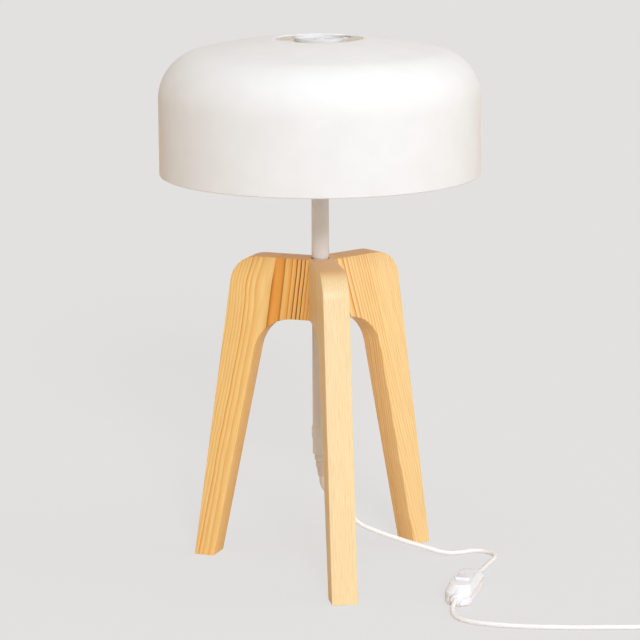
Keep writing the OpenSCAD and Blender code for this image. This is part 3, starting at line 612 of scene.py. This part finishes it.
def pine(name, turned, strips):
    """Pine in strips glued side by side, with its fibres down the leg and its rings round the heart
    of each strip. A strip says from where it runs and where it grows calm, where its heart lies across
    and through the board, how much it leans from the leg, how far its rings swing out past a knot near
    the hub, how wide and how strong they are, and its pale, middle and dark wood. Lengths are in mm."""
    finish = Finish(name, tint("F3CB8E"), 0.44)
    out = Vector((cos(turned), sin(turned), 0))
    down = out * sin(fibre_lean) - Vector((0, 0, cos(fibre_lean)))
    across = out * cos(fibre_lean) + Vector((0, 0, sin(fibre_lean)))
    through = Vector((-sin(turned), cos(turned), 0))
    u, v, w = (finish.dot(finish.place, way) * (1 / mm) - way.z * leg_h for way in (down, across, through))

    def cloud(long, wide, detail=1):
        at = finish.node("ShaderNodeCombineXYZ", None, {0: u / long + turned, 1: v / wide, 2: w / wide})
        return finish.noise(1, detail, at)

    fibre = cloud(fibre_long, fibre_wide, 3)
    past_knot = (u - knot_at) / knot_reach
    slow, quick = ((cloud(long, wide) - 0.5) * far for long, wide, far in swings)
    swing = slow + quick
    colour, late = None, None
    for start, calm_from, heart_v, heart_w, lean, sway, width, strength, woods in strips:
        bend = swing - sway / (past_knot * past_knot + 1)
        dv, dw = v + bend - u * lean - heart_v, w + swing * 0.1 - heart_w
        ring = (dv * dv + dw * dw) ** 0.5 / width
        index = finish.maths("FLOOR", ring)
        stops = [(at, (shade,) * 4) for at, shade in early_to_late]
        band = finish.node("ShaderNodeValToRGB", {"stops": stops}, {0: ring - index})
        year = finish.node("ShaderNodeTexWhiteNoise", {"noise_dimensions": "1D"}, {"W": index + 17 * start})
        calm = finish.node("ShaderNodeMapRange", None, {
            "Value": v, "From Min": calm_from, "From Max": calm_from + calms_over,
            "To Min": strength, "To Max": strength / 3})
        here = band * (year * 0.5 + 0.5) * calm
        pale, amber, dark = (tint(wood) for wood in woods)
        strip = finish.node("ShaderNodeValToRGB", {"stops": [(0, pale), (0.6, amber), (1, dark)]}, {0: here})
        if colour is None:
            colour, late = strip, here
        else:
            inside_it = finish.maths("GREATER_THAN", v, start)
            colour, late = finish.blend(inside_it, colour, strip), late + (here - late) * inside_it
    along = finish.dot(finish.facing, down)
    cut_across = finish.node("ShaderNodeMapRange", {"interpolation_type": "SMOOTHSTEP"},
                             {"Value": along * along, "From Min": 0.3, "From Max": 0.95})
    shaded = finish.node("ShaderNodeValToRGB", {"stops": fibre_shades}, {0: fibre})
    finish.vary(
        Base_Color=finish.blend(cut_across * 0.6, finish.blend(1.0, colour, shaded, "MULTIPLY"), end_wood),
        Roughness=late * -0.1 + fibre * 0.08 + 0.42,
        Normal=finish.bump(late * 0.4 + fibre, 0.03),
    )
    return finish


board = cut_out("board", [(x, -board_t / 2, z) for x, z in board_line], (0, board_t, 0))
apply(board, "BEVEL", width=0.7 * mm, segments=3, limit_method="ANGLE", angle_limit=radians(40))
bpy.ops.object.mode_set(mode="EDIT")
for mitre in mitres:
    bpy.ops.mesh.select_all(action="SELECT")
    bpy.ops.mesh.bisect(plane_co=(0, 0, 0), plane_no=(cos(radians(mitre)), sin(radians(mitre)), 0),
                        use_fill=True, clear_outer=True)
close_up()
arm_line = [(0, -arm_r), *arc((arm_reach, 0), arm_r, -90, 90), (0, arm_r)]
recess_top = hub_under + plate_recess
combine(board, cut_out("arm", [(x, y, below) for x, y in arm_line], (0, 0, recess_top - below)))
combine(board, turn("drill", [
    (0, below), (disc_r, below), (disc_r, recess_top), (nipple_hole_r, recess_top),
    (nipple_hole_r, stem_foot), (stem_hole_r, stem_foot), (stem_hole_r, above), (0, above),
], 64))
bpy.ops.object.shade_smooth_by_angle(angle=radians(30))
legs = (("leg_front", front_strips_with_sheen), ("leg_right", right_strips), ("leg_left", left_strips))
for number, (node, strips) in enumerate(legs):
    turned = -90 + tripod_turned + 120 * number
    pick(board)
    bpy.ops.object.duplicate(linked=False)
    leg = bpy.context.object
    leg.name = leg.data.name = node.replace("leg", "board")
    settle(leg, (0, 0, 0), turned)
    hand_over(leg, pine(f"pine {node}", radians(turned), strips), nodes=[node])
bpy.data.objects.remove(board)

# ---- Hub fixings ----
# A zinc-plated plate let into the hub's underside with three countersunk screws, and the threaded
# tube that draws both stem tubes against the hub.
dress(zinc, "hub_plate", "hub_screws", "hub_nipple")

# ---- Stem and lower tube ----
# Drawn steel tubes in a satin white lacquer, with brass thread rings pressed into their ends. The
# lower one has a bead rolled into it near its end.
tube_r, bore_r, stem_top, drop_end = 8.75, 7.55, 386, 118
groove_r, groove_top, bead_from, bead_to = 8.1, leg_h + 0.8, 133.5, 147.5
tube_paint = skin("tube lacquer", "EBE7E4", 0.38, 1600, 0.02)
stem = turn("stem", [
    (bore_r, stem_foot), (groove_r, stem_foot), (groove_r, groove_top), (tube_r, groove_top + 0.4),
    (tube_r, stem_top), (bore_r, stem_top),
])
ease(stem, 0.3)
merge(stem)
hand_over(stem, tube_paint, nodes=["stem_tube"])
drop = turn("drop_tube", [
    (bore_r, drop_end), (tube_r, drop_end), (tube_r, bead_from), (9.45, bead_from + 1.1),
    (9.65, bead_from + 2.3), (9.65, bead_to - 2.3), (9.45, bead_to - 1.1), (tube_r, bead_to),
    (tube_r, hub_under), (bore_r, hub_under),
])
ease(drop, 0.3, limit=45, smooth=50)
hand_over(drop, tube_paint, nodes=["lower_tube"])
dress(brass, "tube_inserts")

# ---- Cord gland ----
# A nylon gland screwed into the lower tube's end: a step, a collar, and below it a soft sleeve that
# tapers to the cord.
gland_low, gland_high, sleeve_low, cord_hole_r = 111, 146, 94, 2.55
nylon = skin("gland nylon", "EDE3DC", 0.45, 2200, 0.02)
gland = turn("gland", [
    (cord_hole_r, gland_low), (6.3, gland_low), (6.9, 111.8), (6.9, 117.2), (6.5, drop_end), (7.5, drop_end),
    (7.5, 121), (5, 121), (5, gland_high), (cord_hole_r, gland_high),
])
ease(gland, 0.25)
hand_over(gland, nylon, nodes=["gland_body"])
relief = turn("strain_sleeve", [
    (cord_hole_r, sleeve_low), (3.2, sleeve_low), (3.5, 94.6), (4.7, 103.2), (4.7, 104), (5.6, 104),
    (5.7, 104.6), (5.7, 110), (5.2, gland_low), (3.9, gland_low), (3.9, drop_end), (cord_hole_r, drop_end),
])
ease(relief, 0.2)
hand_over(relief, nylon, nodes=["strain_relief"])

# ---- Lamp holder ----
# A thermoplastic screw lamp holder: a base over the nut and a ribbed sleeve, round a ceramic insert
# with a brass screw shell.
base_z, sleeve_z, sleeve_top, holder_r = 389.2, 412, 445, 20
ridges, ridge_from, ridge_pitch, lip_z, lip_r = 8, 4, 3, 443, 14.98
holder_plastic = skin("holder plastic", "F1EFEC", 0.4, 2800, 0.02)
cup = turn("holder_cup", [
    (5.05, base_z), (11, base_z), (12.5, 390.7), (15.6, 396), (18.2, 400.4), (19.4, 402.5),
    (holder_r, 404), (holder_r, sleeve_z), (18.2, sleeve_z), (18.2, 405), (9.5, 394.7), (8.5, 393.2),
    (5.05, 393.2),
])
ease(cup, 0.3, limit=40)
hand_over(cup, holder_plastic, nodes=["holder_base"])
ribbed = [(holder_r, sleeve_z)]
for ridge in range(ridges):
    at = sleeve_z + ridge_from + ridge_pitch * ridge
    ribbed += [(holder_r, at), (19.5, at + 0.5), (19.4, at + 1.2), (19.9, at + 1.7)]
sleeve = turn("holder_sleeve_ribbed", [
    *ribbed, (holder_r, sleeve_top), (lip_r, sleeve_top), (lip_r, lip_z), (16.4, lip_z), (16.4, sleeve_z),
])
ease(sleeve, 0.25, limit=40)
hand_over(sleeve, holder_plastic, nodes=["holder_sleeve"])
ceramic = skin("ceramic", "F0E8DA", 0.25, 700, 0.03)
dress(ceramic, "holder_insert")
dress(zinc, "holder_nipple", "holder_washer", "holder_nut")
dress(brass, "screw_shell", "centre_contact", "holder_terminals")
dress(wire_brown, "holder_wires")

# ---- Bulb ----
# An opal globe blown into a white body, on a nickel cap with a rolled thread and a black glass foot.
# It screws into the holder and turns with its own body.
bulb_z, bulb_long, globe_r, contact_h, glass_h, cap_h = 418.55, 105, 30, 1.5, 2.7, 22.6
globe_z = bulb_z + bulb_long - globe_r
cap_top = bulb_z + contact_h + glass_h + cap_h
thread_turns, thread_pitch, thread_r, thread_deep, steps_a_turn = 6, 3.1, 12.55, 0.5, 10
cap_low, body_r, cap_r = cap_top - cap_h, 14.3, 13.1
touch = atan2(cap_top - globe_z, body_r) + acos(globe_r / hypot(body_r, cap_top - globe_z))
seam = (globe_r * cos(touch), globe_z + globe_r * sin(touch))
opal = skin("opal glass", "F8F6F0", 0.12, 60, 0.02, Coat_Weight=0.5)
globe = turn("globe", [(0, seam[1]), *arc((0, globe_z), globe_r, degrees(touch), 90, 40)])
ease(globe, 0.2)
hand_over(globe, opal, "bulb", ["bulb_globe"])
neck = turn("bulb_neck", [(0, cap_top), (13.5, cap_top), (body_r, cap_top + 1.5), seam, (0, seam[1])])
ease(neck, 0.3)
bulb_plastic = skin("bulb body", "F5F4F1", 0.35, 2600, 0.02)
hand_over(neck, bulb_plastic, "bulb", ["bulb_body"])
cap_line = [(0, cap_low), (11.4, cap_low), (12.3, cap_low + 1.6)]
for step in range(thread_turns * steps_a_turn + 1):
    at = step / steps_a_turn
    cap_line.append((thread_r - thread_deep * cos(2 * pi * at), cap_low + 2 + thread_pitch * at))
cap_line += [(cap_r, cap_top - 1.6), (cap_r, cap_top), (0, cap_top)]
cap = turn("bulb_cap_threaded", cap_line)
ease(cap, 0.15, limit=50, smooth=50)
hand_over(cap, nickel, "bulb", ["bulb_cap"])
black_glass = skin("black glass", "1C1B1E", 0.08, 300, 0.02)
dress(black_glass, "bulb_insulator")
dress(nickel, "bulb_contact")

# ---- Harp and spider ----
# A bent flat bow round the bulb and a flat three-armed plate on it that the shade rests on, both
# stamped from steel and painted white.
bow_half, bow_top, bow_t, bow_w, bow_corner = 43, 536.5, 2, 12, 26
bow_holes, drill_reach = ((stem_top, 5.05), (bow_top, 3.05)), 4
carrier_paint = skin("carrier paint", "EFEBE7", 0.45, 1400, 0.03)
bow_loop = rounded_loop((-bow_half, stem_top), (bow_half, bow_top), bow_corner)
harp = bent_strip("harp_bow", [(-bow_w / 2, y, z) for y, z in bow_loop], (bow_w, 0, 0), bow_t, -1)
for at, hole_r in bow_holes:
    low, high = at - drill_reach, at + drill_reach
    combine(harp, turn("hole", [(0, low), (hole_r, low), (hole_r, high), (0, high)], 40))
ease(harp, 0.35)
hand_over(harp, carrier_paint, nodes=["harp"])
dress(carrier_paint, "spider")

# ---- Shade ----
# Spun from steel sheet, with a rolled rim and a round opening, and powder-coated matt white. A weak
# glow on the inside of the crown stands in for the light that falls in by the opening.
shade_r, wall, rim_z, rim_r, side_top = 160, 1.2, 407, 1.6, 482
shoulder_round, crown_round, opening_r, crown_glow_from = 49, 575, 43.5, 488
shoulder_in = shade_r - shoulder_round
crown_z = side_top - sqrt((crown_round - shoulder_round) ** 2 - shoulder_in ** 2)
meet = degrees(atan2(side_top - crown_z, shoulder_in))
shade_line = [
    *arc((shade_r - rim_r, rim_z + rim_r), rim_r, 70, 360, 20),
    *arc((shoulder_in, side_top), shoulder_round, 0, meet, 30),
]
crown_out = arc((0, crown_z), crown_round, meet + 1, degrees(acos(opening_r / crown_round)), 10)
inner_round = crown_round - wall
crown_in = arc((0, crown_z), inner_round, degrees(acos(opening_r / inner_round)), meet + 1, 10)
shoulder_inside = arc((shoulder_in, side_top), shoulder_round - wall, meet, 0, 30)
shade = turn("shade_spun", [*shade_line, *crown_out, *crown_in, *shoulder_inside], 180)
ease(shade, 0.3, limit=50, smooth=50)
powder = skin("shade powder coat", "F1EEEB", 0.65, 1100, 0.03, Specular_IOR_Level=0.3)
shade_middle, crown_glow, no_glow = (0, 0, 0.42), (0.14, 0.138, 0.135, 1), (0, 0, 0, 1)
from_middle = powder.node("ShaderNodeVectorMath", {"operation": "SUBTRACT"},
                          {0: powder.place, 1: shade_middle})
faces_in = powder.maths("LESS_THAN", powder.dot(powder.facing, from_middle), 0)
height = powder.dot(powder.place, (0, 0, 1 / mm))
ceiling = faces_in * powder.maths("GREATER_THAN", height, crown_glow_from)
powder.vary(Emission_Color=powder.blend(ceiling, no_glow, crown_glow), Emission_Strength=1)
hand_over(shade, powder, nodes=["shade"])

# ---- Top cup ----
# A shallow turned cup in the middle of the opening, held down on the spider by a slotted screw with a nut
# below. Its white coat is darker than the shade's: painted shade for the inside of the cup.
cup_low, cup_high, cup_r, cup_wall, cup_round, screw_hole_r = 538.3, 542.3, 25, 1.2, 1.6, 3.05
top_cup = turn("top_cup", [
    (screw_hole_r, cup_low), (cup_r - cup_round, cup_low),
    *arc((cup_r - cup_round, cup_low + cup_round), cup_round, -90, 0, 5), (cup_r, cup_high),
    (cup_r - cup_wall, cup_high), (cup_r - cup_wall, cup_low + cup_wall), (screw_hole_r, cup_low + cup_wall),
])
ease(top_cup, 0.25)
# The shade's white powder coat made darker, as painted shade inside the cup. The screw head gets it too.
shaded_cup_coat = skin("cup powder coat", "DFDDDB", 0.65, 1100, 0.03, Specular_IOR_Level=0.3)
hand_over(top_cup, shaded_cup_coat, nodes=["top_cap"])
dress(shaded_cup_coat, "cap_screw")
dress(zinc, "cap_nut")

# ---- Studio ----
# A pale floor that runs to the horizon and the same pale grey all round. The main lamp stands a little
# to the right of the camera, a broad weak one far to the right and one above, and the room glows warm.
grey, paper_white, paper_bounce = tint("E1E1E1"), tint("E4E4E4"), tint("E5DED4")
floor_size, floor_gap, glow_share, room_light = 60, 0.00005, 0.84, (0.435, 0.3, 0.177, 1)


def lamp(name, azimuth, elevation, strength, spread, colour):
    """A lamp far away, with its direction and its spread in degrees."""
    bpy.ops.object.select_all(action="DESELECT")
    bpy.ops.object.light_add(type="SUN", location=(0, 0, 3))
    light = bpy.context.object
    light.name = name
    light.data.energy, light.data.angle, light.data.color = strength, radians(spread), colour
    light.rotation_euler = (radians(90 - elevation), 0, radians(azimuth))


lamp("key", 10, 26, 2.15, 14, (0.71, 0.85, 1))
lamp("right", 80, 26, 0.66, 50, (0.84, 0.93, 1))
lamp("top", 0, 80, 0.9, 50, (0.54, 0.79, 1))
bpy.ops.mesh.primitive_plane_add(size=floor_size, location=(0, 0, -floor_gap))
floor = bpy.context.object
floor.name = "floor"
paper = Finish("floor paper", grey, 0.9)
ray = paper.node("ShaderNodeLightPath", out="Is Camera Ray")
glow = paper.node("ShaderNodeEmission", None, {"Color": paper_white, "Strength": 1})
diffuse = paper.node("ShaderNodeBsdfDiffuse", None, {"Color": paper_bounce})
mixed = paper.node("ShaderNodeMixShader", None, {0: ray * glow_share, 1: diffuse, 2: glow})
paper.feed(paper.tree.nodes["Material Output"].inputs["Surface"], mixed)
floor.data.materials.append(paper.material)

world = bpy.data.worlds.new("studio")
bpy.context.scene.world = world
world.use_nodes = True
nodes, links = world.node_tree.nodes, world.node_tree.links
seen = nodes.new("ShaderNodeBackground")
seen.inputs["Color"].default_value = grey
lit = nodes["Background"]
lit.inputs["Color"].default_value = room_light
lit.inputs["Strength"].default_value = 1
path = nodes.new("ShaderNodeLightPath")
choice = nodes.new("ShaderNodeMixShader")
either = nodes.new("ShaderNodeMath")
either.operation = "MAXIMUM"
links.new(path.outputs["Is Camera Ray"], either.inputs[0])
links.new(path.outputs["Is Glossy Ray"], either.inputs[1])
links.new(either.outputs[0], choice.inputs[0])
links.new(lit.outputs[0], choice.inputs[1])
links.new(seen.outputs[0], choice.inputs[2])
links.new(choice.outputs[0], nodes["World Output"].inputs["Surface"])
bpy.context.scene.view_settings.view_transform = "Standard"
